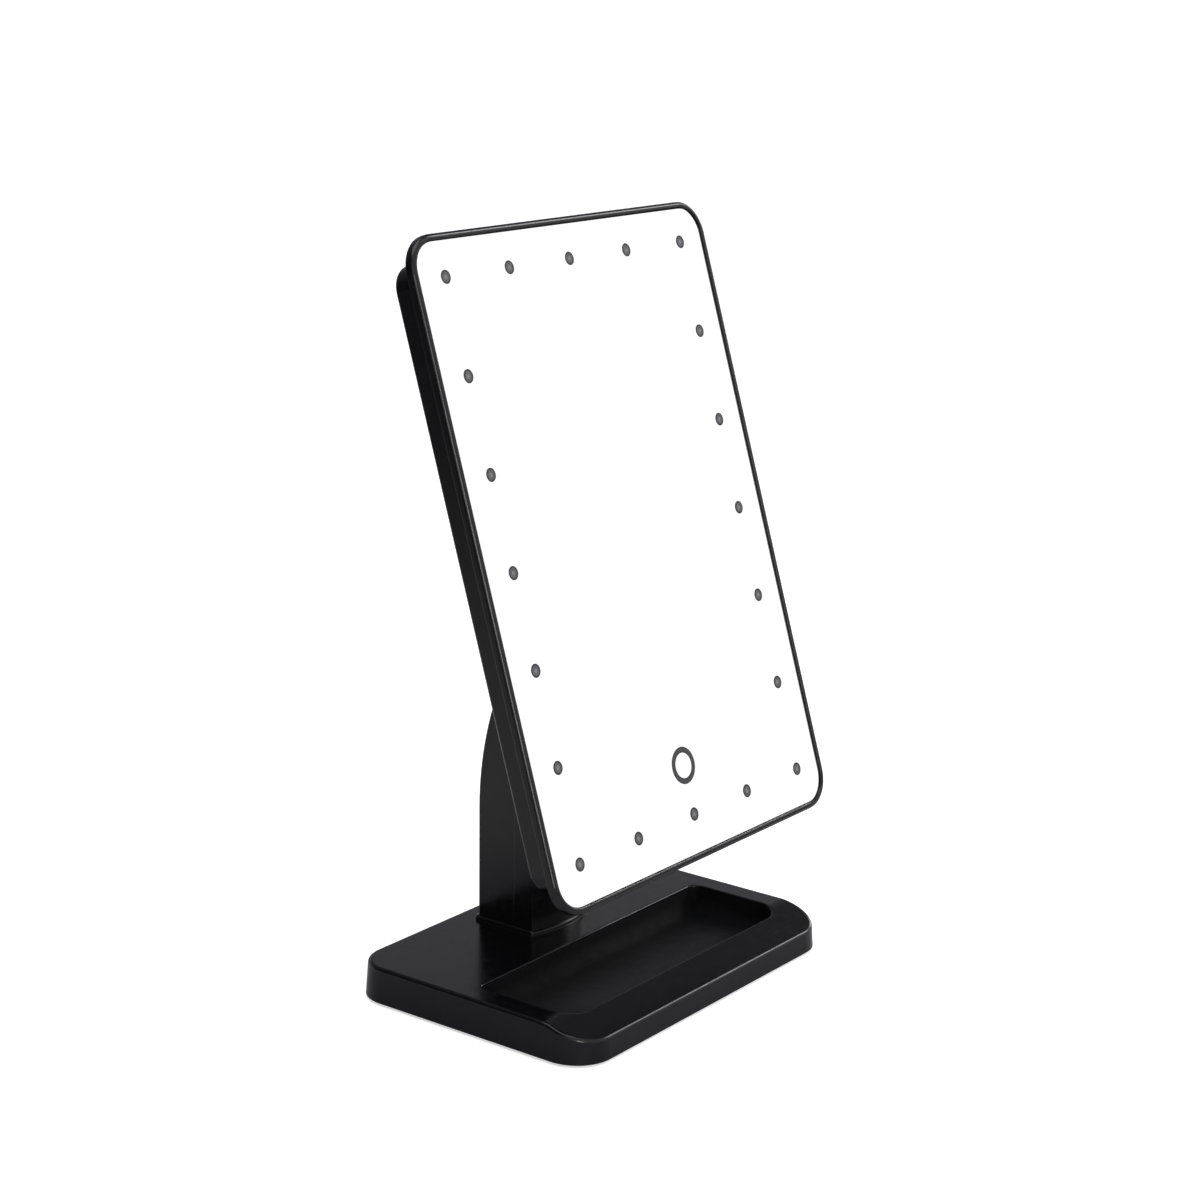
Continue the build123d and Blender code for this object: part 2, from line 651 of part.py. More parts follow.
with BuildSketch() as seam_front:
    with BuildLine():
        Line((SEAM_Y, 0), (SEAM_Y, SEAM_BEND_Z))
        ThreePointArc((SEAM_Y, SEAM_BEND_Z), (seam_mid.X, seam_mid.Y), (HINGE_Y, HINGE_Z))
        Polyline(
            (HINGE_Y, HINGE_Z),
            (seam_end.X, seam_end.Y),
            (-BASE_D, seam_end.Y),
            (-BASE_D, 0),
            (SEAM_Y, 0),
        )
    make_face()

# hollow of the neck: parallel to the outline, stopping short of the knuckle
with BuildSketch() as neck_hollow:
    add(neck_section(CROWN + NECK_WALL - NECK_EDGE_R))
    with Locations((SEAM_Y, NECK_HOLLOW_LOW + NECK_HOLLOW_LEN / 2)):
        Rectangle(BASE_D, NECK_HOLLOW_LEN, mode=Mode.INTERSECT)


def ray(angle):
    """Direction of the hinge arm seen from the side, level and forward at zero."""
    return Vector(-math.cos(math.radians(angle)), math.sin(math.radians(angle)))


# room the hinge arm sweeps through
axis_point = Vector(HINGE_Y, HINGE_Z)
slot_r = EYE_R + SLOT_FIT
low_side = axis_point + Vector(-ray(SWING_LOW).Y, ray(SWING_LOW).X) * slot_r
high_side = axis_point + Vector(ray(SWING_HIGH).Y, -ray(SWING_HIGH).X) * slot_r
low_far = low_side + ray(SWING_LOW) * 4 * KNUCKLE_R
high_far = high_side + ray(SWING_HIGH) * 4 * KNUCKLE_R
with BuildSketch() as swing_slot:
    with BuildLine():
        Polyline(
            (low_side.X, low_side.Y),
            (low_far.X, low_far.Y),
            (low_far.X, high_far.Y),
            (high_far.X, high_far.Y),
            (high_side.X, high_side.Y),
            close=True,
        )
    make_face()
    with Locations((HINGE_Y, HINGE_Z)):
        Circle(slot_r)


# columns that take the screws closing the two shells
neck_columns = []
for z in NECK_SCREW_Z:
    neck_columns.append(Plane(origin=(0, seam_at(z), z), x_dir=(1, 0, 0), z_dir=(0, 1, 0)))

for name, keep in (("neck_front", Mode.INTERSECT), ("neck_rear", Mode.SUBTRACT)):
    with BuildPart() as neck_shell:
        add(neck_body.part)
        with BuildSketch(Plane.YZ):
            add(neck_hollow.sketch)
        extrude(amount=NECK_HALF - NECK_WALL, both=True, mode=Mode.SUBTRACT)
        # screw columns, counterbored from behind
        for plane in neck_columns:
            with BuildSketch(plane):
                Circle(COLUMN_R)
            extrude(amount=COLUMN_REACH)
            with BuildSketch(plane):
                Circle(COLUMN_R)
            extrude(amount=-COLUMN_FRONT)
            with BuildSketch(plane.offset(COLUMN_CAP - COLUMN_FRONT)):
                Circle(SCREW_SHANK_R)
            extrude(amount=COLUMN_FRONT + COLUMN_HEAD, mode=Mode.SUBTRACT)
            with BuildSketch(plane.offset(COLUMN_HEAD)):
                Circle(SCREW_HEAD_R + HEAD_FIT)
            extrude(amount=SEAM_Y, mode=Mode.SUBTRACT)
        # tenon that drops into the base
        with BuildSketch(Plane.XY.offset(SOCKET_FLOOR)):
            add(tenon_outline.sketch)
        extrude(amount=BASE_TOP + BURY - SOCKET_FLOOR)
        with BuildSketch(Plane.XY.offset(SOCKET_FLOOR)):
            with Locations(*TENON_SCREWS):
                Circle(SCREW_SHANK_R)
        extrude(amount=TENON_SCREW_LEN, mode=Mode.SUBTRACT)
        # slot the hinge arm swings in
        with BuildSketch(Plane.YZ):
            add(swing_slot.sketch)
        extrude(amount=CHEEK_IN, both=True, mode=Mode.SUBTRACT)
        # seat for the axle, its head and its nut
        with BuildSketch(Plane.YZ):
            with Locations((HINGE_Y, HINGE_Z)):
                Circle(AXLE_R)
        extrude(amount=POCKET_IN, both=True, mode=Mode.SUBTRACT)
        with BuildSketch(Plane.YZ.offset(-POCKET_OUT)):
            with Locations((HINGE_Y, HINGE_Z)):
                Circle(AXLE_HEAD_R)
        extrude(amount=POCKET_OUT - POCKET_IN, mode=Mode.SUBTRACT)
        with BuildSketch(Plane.YZ.offset(POCKET_IN)):
            with Locations((HINGE_Y, HINGE_Z)):
                RegularPolygon(NUT_AF / 2, 6, major_radius=False)
        extrude(amount=POCKET_OUT - POCKET_IN, mode=Mode.SUBTRACT)
        with BuildSketch(Plane.YZ):
            add(seam_front.sketch)
        extrude(amount=BASE_W, both=True, mode=keep)
    save(neck_shell, name)

with BuildPart() as neck_screws:
    for plane in neck_columns:
        with BuildSketch(plane.offset(COLUMN_CAP + TIP_GAP - COLUMN_FRONT)):
            Circle(SCREW_SHANK_R)
        extrude(amount=COLUMN_FRONT - COLUMN_CAP - TIP_GAP + COLUMN_HEAD)
        with BuildSketch(plane.offset(COLUMN_HEAD)):
            Circle(SCREW_HEAD_R)
        extrude(amount=SCREW_HEAD_H)
        with BuildSketch(plane.offset(COLUMN_HEAD + SCREW_HEAD_H)):
            add(cross_slot.sketch)
        extrude(amount=-CROSS_DEPTH, mode=Mode.SUBTRACT)
save(neck_screws, "neck_screws")

with BuildPart() as tenon_screws:
    with BuildSketch(Plane.XY.offset(SOCKET_FLOOR - SOCKET_WALL)):
        with Locations(*TENON_SCREWS):
            Circle(SCREW_SHANK_R)
    extrude(amount=SOCKET_WALL + TENON_SCREW_LEN - TIP_GAP)
    with BuildSketch(Plane.XY.offset(SOCKET_FLOOR - SOCKET_WALL)):
        with Locations(*TENON_SCREWS):
            Circle(SCREW_HEAD_R)
    extrude(amount=-TENON_HEAD_H)
    with BuildSketch(Plane.XY.offset(SOCKET_FLOOR - SOCKET_WALL - TENON_HEAD_H)):
        with Locations(*TENON_SCREWS):
            add(cross_slot.sketch)
    extrude(amount=CROSS_DEPTH, mode=Mode.SUBTRACT)
save(tenon_screws, "tenon_screws")

# ================================================================ hinge
with BuildPart() as hinge_axle:
    with BuildSketch(Plane.YZ.offset(-POCKET_OUT)):
        with Locations((HINGE_Y, HINGE_Z)):
            Circle(AXLE_HEAD_R)
    extrude(amount=POCKET_OUT - POCKET_IN)
    fillet(hinge_axle.edges().group_by(Axis.X)[0], AXLE_EDGE)
    with BuildSketch(Plane.YZ.offset(-POCKET_IN)):
        with Locations((HINGE_Y, HINGE_Z)):
            Circle(AXLE_R)
    extrude(amount=POCKET_IN + POCKET_OUT - NUT_RECESS)
    chamfer(hinge_axle.edges().group_by(Axis.X)[-1], AXLE_EDGE)
save(hinge_axle, "hinge_axle")

with BuildPart() as hinge_nut:
    with BuildSketch(Plane.YZ.offset(POCKET_IN)):
        with Locations((HINGE_Y, HINGE_Z)):
            RegularPolygon(NUT_AF / 2, 6, major_radius=False)
            Circle(AXLE_R, mode=Mode.SUBTRACT)
    extrude(amount=POCKET_OUT - POCKET_IN - NUT_RECESS)
save(hinge_nut, "hinge_nut")

with BuildPart() as hinge_washers:
    for x in (-CHEEK_IN, CHEEK_IN - WASHER_T):
        with BuildSketch(Plane.YZ.offset(x)):
            with Locations((HINGE_Y, HINGE_Z)):
                Circle(WASHER_R)
                Circle(AXLE_R, mode=Mode.SUBTRACT)
        extrude(amount=WASHER_T)
save(hinge_washers, "hinge_washers")

# arm screwed to the back of the head, its eye turning on the axle
with BuildPart() as hinge_arm:
    with BuildSketch(head(POD_BACK, 0, -AXIS_DROP)):
        RectangleRounded(2 * PLATE_HALF, 2 * PLATE_RISE, ARM_PLATE_R)
    extrude(amount=ARM_PLATE_T)
    with BuildSketch(head(POD_BACK, 0, -AXIS_DROP)):
        Rectangle(2 * EYE_HALF, 2 * EYE_R)
    extrude(amount=POD_BACK - AXIS_DEPTH)
    with BuildSketch(Plane.YZ):
        with Locations((HINGE_Y, HINGE_Z)):
            Circle(EYE_R)
    extrude(amount=EYE_HALF, both=True)
    with BuildSketch(Plane.YZ):
        with Locations((HINGE_Y, HINGE_Z)):
            Circle(AXLE_R + AXLE_FIT)
    extrude(amount=EYE_HALF, both=True, mode=Mode.SUBTRACT)
    with Locations(head(POD_BACK, 0, -AXIS_DROP)):
        with Locations(*[Location((x, y, 0), (0, 180, 0)) for x, y in ARM_SCREWS]):
            CounterSinkHole(SCREW_SHANK_R, ARM_SCREW_HEAD_R, depth=ARM_PLATE_T)
save(hinge_arm, "hinge_arm")

with BuildPart() as arm_screws:
    with BuildSketch(head(POD_BACK, 0, -AXIS_DROP)):
        with Locations(*ARM_SCREWS):
            Circle(ARM_SCREW_HEAD_R)
    extrude(amount=ARM_SCREW_HEAD_R - SCREW_SHANK_R, taper=45)
    with BuildSketch(head(POD_BACK, 0, -AXIS_DROP)):
        with Locations(*ARM_SCREWS):
            Circle(SCREW_SHANK_R)
    extrude(amount=ARM_SCREW_LEN)
    with BuildSketch(head(POD_BACK, 0, -AXIS_DROP)):
        with Locations(*ARM_SCREWS):
            add(cross_slot.sketch)
    extrude(amount=CROSS_DEPTH, mode=Mode.SUBTRACT)
save(arm_screws, "arm_screws")

# ================================================================ front frame
with BuildPart() as front_frame:
    with BuildSketch(head(0)):
        RectangleRounded(FRAME_W, FRAME_H, FRAME_R)
    slab(0, FRAME_T)
    ends = front_frame.faces().sort_by(Axis(CENTRE, BACK))
    fillet(ends[0].edges(), FRAME_EDGE_R)
    fillet(ends[-1].edges(), FRAME_BACK_EDGE_R)
    # recess the glass sits in, its lip rounded
    with BuildSketch(head(0)):
        RectangleRounded(FRAME_W - 2 * BORDER, FRAME_H - 2 * BORDER, FRAME_R - BORDER)
    extrude(amount=-PANEL_FRONT, mode=Mode.SUBTRACT)
    border = front_frame.faces().sort_by(Axis(CENTRE, BACK))[0]
    fillet(border.inner_wires()[0].edges(), LIP_R)
    # skirt that locates the rear housing
    with BuildSketch(head(FRAME_T)):
        RectangleRounded(SKIRT_W, SKIRT_H, SKIRT_R)
        offset(amount=-SKIRT_T, mode=Mode.SUBTRACT)
    slab(FRAME_T, SKIRT_END)
    # supports for the LED board and the control board, bosses for the case screws
    with BuildSketch(head(FRAME_T)):
        with Locations(*post_spots()):
            Circle(POST_R)
    slab(FRAME_T, LED_PCB_FRONT)
    with BuildSketch(head(FRAME_T)):
        with Locations(*CONTROL_POSTS):
            Circle(POST_R)
    slab(FRAME_T, CONTROL_FRONT)
    with BuildSketch(head(FRAME_T)):
        with Locations(*CASE_SCREWS):
            Circle(BOSS_R)
    slab(FRAME_T, BACK_INNER)
    with BuildSketch(head(BACK_INNER)):
        with Locations(*CASE_SCREWS):
            Circle(SCREW_SHANK_R)
    extrude(amount=CASE_SCREW_LEN, mode=Mode.SUBTRACT)
    # light openings and the opening over the touch electrode
    with BuildSketch(head(FRAME_T)):
        with Locations(*led_spots()):
            Circle(PANEL_HOLE_R)
        with Locations((0, RING_Y)):
            Circle(TOUCH_HOLE_R)
    extrude(amount=FRAME_T - PANEL_FRONT, mode=Mode.SUBTRACT)
save(front_frame, "front_frame")

# ================================================================ glass, windows, ring, tape
with BuildPart() as mirror_glass:
    with BuildSketch(head(GLASS_FRONT)):
        RectangleRounded(GLASS_W, GLASS_H, GLASS_R)
    slab(0, GLASS_T)
    chamfer(mirror_glass.faces().sort_by(Axis(CENTRE, BACK))[0].edges(), GLASS_EDGE)
    with BuildSketch(head(GLASS_FRONT)):
        with Locations(*led_spots()):
            Circle(WINDOW_R)
    extrude(amount=-GLASS_T, mode=Mode.SUBTRACT)
    with BuildSketch(head(GLASS_FRONT)):
        with Locations((0, RING_Y)):
            Circle(RING_OUT)
            Circle(RING_IN, mode=Mode.SUBTRACT)
    extrude(amount=-RING_T, mode=Mode.SUBTRACT)
save(mirror_glass, "mirror_glass")

with BuildPart() as led_windows:
    with BuildSketch(head(GLASS_FRONT)):
        with Locations(*led_spots()):
            Circle(WINDOW_R)
    extrude(amount=-GLASS_T)
save(led_windows, "led_windows")

with BuildPart() as touch_ring:
    with BuildSketch(head(GLASS_FRONT, 0, RING_Y)):
        Circle(RING_OUT)
        Circle(RING_IN, mode=Mode.SUBTRACT)
    extrude(amount=-RING_T)
save(touch_ring, "touch_ring")

with BuildPart() as glass_tape:
    with BuildSketch(head(GLASS_FRONT + GLASS_T)):
        RectangleRounded(TAPE_W, TAPE_H, TAPE_R)
        RectangleRounded(TAPE_W - 2 * TAPE_BAND, TAPE_H - 2 * TAPE_BAND, TAPE_R / 2, mode=Mode.SUBTRACT)
    slab(0, PANEL_FRONT - GLASS_FRONT - GLASS_T)
save(glass_tape, "glass_tape")

# ================================================================ electronics
with BuildPart() as led_board:
    with BuildSketch(head(LED_PCB_FRONT, 0, GRID_RISE)):
        RectangleRounded(LED_PCB_W, LED_PCB_H, LED_PCB_R)
        RectangleRounded(LED_PCB_IN_W, LED_PCB_IN_H, LED_PCB_R / 2, mode=Mode.SUBTRACT)
    slab(0, LED_PCB_T)
save(led_board, "led_board")

# packages with a shallow round phosphor well, contacts down on the board
with BuildPart() as leds:
    with BuildSketch(head(LED_PCB_FRONT)):
        with Locations(*led_spots()):
            Rectangle(LED_W, LED_H)
    extrude(amount=LED_T)
    with BuildSketch(head(LED_PCB_FRONT - LED_T)):
        with Locations(*led_spots()):
            Circle(LED_WELL_R)
    extrude(amount=-LED_T / 3, mode=Mode.SUBTRACT)
save(leds, "leds")

with BuildPart() as control_board:
    with BuildSketch(head(CONTROL_FRONT, 0, CONTROL_Y)):
        RectangleRounded(CONTROL_W, CONTROL_H, CONTROL_R)
    slab(0, CONTROL_T)
save(control_board, "control_board")

# driver chip, touch chip, inductor, capacitors and a wire header on the back of the board
with BuildPart() as control_parts:
    with BuildSketch(head(CONTROL_BACK, 0, CONTROL_Y)):
        for x, y, width, depth in CHIPS:
            with Locations((x, y)):
                Rectangle(width, depth)
    slab(0, CHIP_H)
    with BuildSketch(head(CONTROL_BACK, 0, CONTROL_Y)):
        with Locations(INDUCTOR_AT):
            RectangleRounded(INDUCTOR_W, INDUCTOR_W, INDUCTOR_W / 5)
        with Locations(HEADER_AT):
            Rectangle(HEADER_W, HEADER_D)
    slab(0, TALL_H)
    with BuildSketch(head(CONTROL_BACK, 0, CONTROL_Y)):
        with Locations(*CAPACITORS):
            Circle(CAPACITOR_R)
    slab(0, CAPACITOR_H)
    with BuildSketch(head(CONTROL_BACK, 0, CONTROL_Y)):
        with Locations(*RESISTORS):
            Rectangle(RESISTOR_W, RESISTOR_D)
    slab(0, RESISTOR_H)
save(control_parts, "control_parts")

# contact spring from the control board to the back of the glass
with BuildPart() as touch_spring:
    with BuildLine() as coil:
        Helix(
            pitch=(TOUCH_SPRING_LEN - 2 * SPRING_WIRE_R) / TOUCH_TURNS,
            height=TOUCH_SPRING_LEN - 2 * SPRING_WIRE_R,
            radius=TOUCH_SPRING_R,
            center=head(CONTROL_FRONT - SPRING_WIRE_R, 0, RING_Y).origin,
            direction=-BACK,
        )
    with BuildSketch(Plane(origin=coil.line @ 0, z_dir=coil.line % 0)):
        Circle(SPRING_WIRE_R)
    sweep(path=coil.line, is_frenet=True)
save(touch_spring, "touch_spring")

# ================================================================ rear housing
with BuildPart() as back_housing:
    with BuildSketch(head(FRAME_T)):
        RectangleRounded(HOUSING_W, HOUSING_H, HOUSING_R)
    slab(FRAME_T, HOUSING_BACK)
    fillet(back_housing.faces().sort_by(Axis(CENTRE, BACK))[-1].edges(), HOUSING_EDGE_R)
    # battery pod standing out from the back
    with BuildSketch(head(HOUSING_BACK - BURY, 0, POD_MID)):
        RectangleRounded(2 * POD_HALF, POD_HIGH - POD_LOW, POD_R)
    slab(HOUSING_BACK - BURY, POD_BACK)
    fillet(back_housing.faces().sort_by(Axis(CENTRE, BACK))[-1].edges(), POD_EDGE_R)
    # hollow of the case, then of the pod below the battery bay
    with BuildSketch(head(FRAME_T)):
        RectangleRounded(CASE_IN_W, CASE_IN_H, HOUSING_R - HOUSING_WALL)
    extrude(amount=FRAME_T - BACK_INNER, mode=Mode.SUBTRACT)
    with BuildSketch(head(BACK_INNER, 0, POD_MID)):
        RectangleRounded(2 * (POD_HALF - POD_WALL), POD_HIGH - POD_LOW - 2 * POD_WALL, POD_R - POD_WALL)
    extrude(amount=BACK_INNER - POD_BACK + POD_WALL, mode=Mode.SUBTRACT)
    # battery bay: floor, side walls and end walls
    with BuildSketch(head(BAY_FLOOR - BAY_WALL, 0, BAY_MID)):
        Rectangle(2 * (BAY_HALF + BAY_WALL), BAY_HIGH - BAY_LOW + 2 * BAY_WALL)
    slab(BAY_FLOOR - BAY_WALL, POD_BACK - POD_WALL)
    # solid flanks that carry the door rails, and the top of the pod opened for the door
    with BuildSketch(head(BACK_INNER, 0, (BAY_LOW - BAY_WALL + POD_HIGH - POD_R) / 2)):
        Rectangle(2 * (POD_HALF - BURY), POD_HIGH - POD_R - BAY_LOW + BAY_WALL)
        Rectangle(2 * BAY_HALF + 2 * BAY_WALL, POD_HIGH, mode=Mode.SUBTRACT)
    slab(BACK_INNER, POD_BACK - POD_WALL)
    with BuildSketch(head(BAY_FLOOR, 0, BAY_MID)):
        Rectangle(2 * BAY_HALF, BAY_HIGH - BAY_LOW)
    extrude(amount=BAY_FLOOR - POD_BACK, mode=Mode.SUBTRACT)
    # opening for the door plate, over the top end of the pod as well
    with BuildSketch(head(DOOR_INNER - DOOR_GAP, 0, DOOR_SLOT_MID)):
        Rectangle(2 * (DOOR_HALF + DOOR_GAP), DOOR_SLOT_LEN)
    extrude(amount=DOOR_INNER - DOOR_GAP - POD_BACK, mode=Mode.SUBTRACT)
    with BuildSketch(head(HOUSING_BACK, 0, POD_HIGH)):
        Rectangle(2 * (DOOR_HALF + DOOR_GAP), 2 * (POD_HIGH - BAY_HIGH - BAY_WALL))
    extrude(amount=HOUSING_BACK - POD_BACK, mode=Mode.SUBTRACT)
    # grooves for the door's tongues
    with BuildSketch(head(DOOR_INNER - DOOR_GAP, 0, DOOR_SLOT_MID)):
        Rectangle(2 * (TONGUE_HALF + DOOR_GAP), DOOR_SLOT_LEN)
    extrude(amount=-(TONGUE_T + 2 * DOOR_GAP), mode=Mode.SUBTRACT)
    # seat, bosses and holes for the hinge arm
    with BuildSketch(head(POD_BACK, 0, -AXIS_DROP)):
        RectangleRounded(2 * PLATE_HALF + 2 * SEAT_MARGIN, 2 * PLATE_RISE + SEAT_MARGIN, ARM_PLATE_R)
    extrude(amount=ARM_PLATE_T + POD_WALL)
    with BuildSketch(head(POD_BACK - BURY, 0, -AXIS_DROP)):
        with Locations(*ARM_SCREWS):
            Circle(BOSS_R)
    extrude(amount=ARM_SCREW_LEN + 1.0)
    with BuildSketch(head(POD_BACK, 0, -AXIS_DROP)):
        RectangleRounded(2 * PLATE_HALF, 2 * PLATE_RISE, ARM_PLATE_R)
    extrude(amount=ARM_PLATE_T, mode=Mode.SUBTRACT)
    with BuildSketch(head(POD_BACK, 0, -AXIS_DROP)):
        with Locations(*ARM_SCREWS):
            Circle(SCREW_SHANK_R)
    extrude(amount=ARM_SCREW_LEN + TIP_GAP, mode=Mode.SUBTRACT)
    # counterbored holes for the case screws
    with BuildSketch(head(HOUSING_BACK)):
        with Locations(*CASE_SCREWS):
            Circle(SCREW_HEAD_R + HEAD_FIT)
    extrude(amount=CASE_HEAD_H, mode=Mode.SUBTRACT)
    with BuildSketch(head(HOUSING_BACK)):
        with Locations(*CASE_SCREWS):
            Circle(SCREW_SHANK_R)
    extrude(amount=HOUSING_WALL, mode=Mode.SUBTRACT)
    # ribs that hold the LED board down
    with BuildSketch(head(LED_PCB_FRONT + LED_PCB_T)):
        with Locations(*post_spots()):
            Circle(LED_RIB_R)
    slab(LED_PCB_FRONT + LED_PCB_T, BACK_INNER)
    # slot for the power switch, in a shallow dish
    with BuildSketch(head(HOUSING_BACK, SWITCH_X, SWITCH_Y)):
        SlotOverall(SWITCH_DISH_W, SWITCH_DISH_H)
    extrude(amount=SWITCH_DISH_DEPTH, mode=Mode.SUBTRACT)
    with BuildSketch(head(HOUSING_BACK, SWITCH_X, SWITCH_Y)):
        Rectangle(KNOB_W + SWITCH_TRAVEL + 2 * DOOR_GAP, KNOB_H + 2 * DOOR_GAP)
    extrude(amount=HOUSING_WALL, mode=Mode.SUBTRACT)
save(back_housing, "back_housing")

with BuildPart() as case_screws:
    with BuildSketch(head(HOUSING_BACK - CASE_HEAD_H)):
        with Locations(*CASE_SCREWS):
            Circle(SCREW_HEAD_R)
    extrude(amount=CASE_HEAD_SINK - CASE_HEAD_H)
    with BuildSketch(head(HOUSING_BACK - CASE_HEAD_H)):
        with Locations(*CASE_SCREWS):
            Circle(SCREW_SHANK_R)
    extrude(amount=HOUSING_WALL - CASE_HEAD_H + CASE_SCREW_LEN - TIP_GAP)
    with BuildSketch(head(HOUSING_BACK - CASE_HEAD_SINK)):
        with Locations(*CASE_SCREWS):
            add(cross_slot.sketch)
    extrude(amount=CROSS_DEPTH, mode=Mode.SUBTRACT)
save(case_screws, "case_screws")

# ================================================================ battery door
with BuildPart() as battery_door:
    with BuildSketch(head(DOOR_INNER, 0, DOOR_MID)):
        Rectangle(2 * DOOR_HALF, DOOR_LEN)
    slab(DOOR_INNER, POD_BACK)
    # tongues in the rails
    with BuildSketch(head(DOOR_INNER, 0, DOOR_MID)):
        Rectangle(2 * TONGUE_HALF, DOOR_LEN)
    extrude(amount=-TONGUE_T)
    # end wall that closes the top of the pod
    with BuildSketch(head(HOUSING_BACK + DOOR_GAP, 0, POD_HIGH - DOOR_T / 2)):
        Rectangle(2 * DOOR_HALF, DOOR_T)
    slab(HOUSING_BACK + DOOR_GAP, POD_BACK)
    back_face = battery_door.faces().sort_by(Axis(CENTRE, BACK))[-1]
    fillet(back_face.edges().sort_by(Axis(CENTRE, UP))[-1], DOOR_T - DOOR_GAP)
    # grip grooves and an arrow showing which way it slides
    with BuildSketch(head(POD_BACK, 0, GRIP_Y)):
        with GridLocations(0, GRIP_PITCH, 1, 5):
            SlotOverall(GRIP_LEN, GRIP_W)
    extrude(amount=GRIP_DEPTH, mode=Mode.SUBTRACT)
    with BuildSketch(head(POD_BACK, 0, ARROW_Y)):
        RegularPolygon(ARROW_R, 3, rotation=90)
    extrude(amount=GRIP_DEPTH, mode=Mode.SUBTRACT)
save(battery_door, "battery_door")

# ================================================================ batteries and contacts
cell_x = [(i - 1.5) * CELL_PITCH for i in range(4)]
cell_ends = [1, -1, 1, -1]          # which way each cell's nub points
SPRING_LEN = BAY_HIGH - BAY_LOW - CELL_LEN - 2 * CONTACT_T

with BuildPart() as batteries:
    for x, way in zip(cell_x, cell_ends):
        nub_end = BAY_HIGH - CONTACT_T if way > 0 else BAY_LOW + CONTACT_T
        flat_end = nub_end - way * CELL_LEN
        foot = head(CELL_DEPTH, x, flat_end)
        shoulder = CELL_LEN - NUB_LEN
        with BuildSketch(Plane(origin=foot.origin, x_dir=(1, 0, 0), z_dir=-BACK * way)):
            with BuildLine():
                Polyline(
                    (0, 0),
                    (CELL_R - CELL_EDGE, 0),
                    (CELL_R, CELL_EDGE),
                    (CELL_R, shoulder - CELL_EDGE),
                    (CELL_R - CELL_EDGE, shoulder),
                    (NUB_R, shoulder),
                    (NUB_R, CELL_LEN),
                    (0, CELL_LEN),
                    close=True,
                )
            make_face()
        revolve(axis=Axis(foot.origin, UP))
save(batteries, "batteries")

with BuildPart() as contact_plates:
    for x in cell_x:
        for y in (BAY_LOW + CONTACT_T / 2, BAY_HIGH - CONTACT_T / 2):
            with BuildSketch(head(CELL_DEPTH - CONTACT_HALF, x, y)):
                Rectangle(2 * CONTACT_HALF, CONTACT_T)
            extrude(amount=-2 * CONTACT_HALF)
    # strips that join neighbouring cells in series
    low_y = BAY_LOW + CONTACT_T / 2
    high_y = BAY_HIGH - CONTACT_T / 2
    for x, y in ((0.0, low_y), (-CELL_PITCH, high_y), (CELL_PITCH, high_y)):
        with BuildSketch(head(CELL_DEPTH - STRIP_W / 2, x, y)):
            Rectangle(CELL_PITCH, CONTACT_T)
        extrude(amount=-STRIP_W)
save(contact_plates, "contact_plates")

with BuildPart() as battery_springs:
    for x, way in zip(cell_x, cell_ends):
        wall = BAY_LOW + CONTACT_T if way > 0 else BAY_HIGH - CONTACT_T
        with BuildLine() as turns:
            Helix(
                pitch=(SPRING_LEN - 2 * SPRING_WIRE_R) / BATTERY_TURNS,
                height=SPRING_LEN - 2 * SPRING_WIRE_R,
                radius=BATTERY_SPRING_R,
                center=head(CELL_DEPTH, x, wall + way * SPRING_WIRE_R).origin,
                direction=UP * way,
            )
        with BuildSketch(Plane(origin=turns.line @ 0, z_dir=turns.line % 0)):
            Circle(SPRING_WIRE_R)
        sweep(path=turns.line, is_frenet=True)
save(battery_springs, "battery_springs")

# ================================================================ power switch
with BuildPart() as switch_body:
    with BuildSketch(head(SWITCH_FRONT, SWITCH_X, SWITCH_Y)):
        Rectangle(SWITCH_W, SWITCH_H)
    slab(SWITCH_FRONT, BACK_INNER)
    with BuildSketch(head(SWITCH_CAVITY, SWITCH_X, SWITCH_Y)):
        Rectangle(FLANGE_W + SWITCH_TRAVEL + 2 * DOOR_GAP, FLANGE_H + 2 * DOOR_GAP)
    extrude(amount=SWITCH_CAVITY - BACK_INNER, mode=Mode.SUBTRACT)
    # solder legs
    with BuildSketch(head(SWITCH_FRONT, SWITCH_X, SWITCH_Y)):
        with GridLocations(LEG_PITCH, 0, 3, 1):
            Rectangle(LEG_W, LEG_T)
    extrude(amount=LEG_LEN)
save(switch_body, "switch_body")

with BuildPart() as switch_knob:
    with BuildSketch(head(SWITCH_CAVITY + DOOR_GAP, SWITCH_X - SWITCH_TRAVEL / 2, SWITCH_Y)):
        Rectangle(FLANGE_W, FLANGE_H)
    extrude(amount=-FLANGE_T)
    with BuildSketch(head(SWITCH_CAVITY + DOOR_GAP, SWITCH_X - SWITCH_TRAVEL / 2, SWITCH_Y)):
        Rectangle(KNOB_W, KNOB_H)
    extrude(amount=SWITCH_CAVITY + DOOR_GAP - KNOB_BACK)
    with BuildSketch(head(KNOB_BACK, SWITCH_X - SWITCH_TRAVEL / 2, SWITCH_Y)):
        with GridLocations(KNOB_GROOVE_PITCH, 0, 3, 1):
            Rectangle(KNOB_GROOVE, KNOB_H)
    extrude(amount=KNOB_GROOVE, mode=Mode.SUBTRACT)
save(switch_knob, "switch_knob")

# ================================================================ wires
with BuildPart() as wires:
    for run in WIRE_RUNS:
        with BuildLine(head(WIRE_DEPTH)) as route:
            Spline(*run)
        with BuildSketch(Plane(origin=route.line @ 0, z_dir=route.line % 0)):
            Circle(WIRE_R)
        sweep(path=route.line)
save(wires, "wires")
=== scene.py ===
import math

import bpy
from mathutils import Matrix, Vector

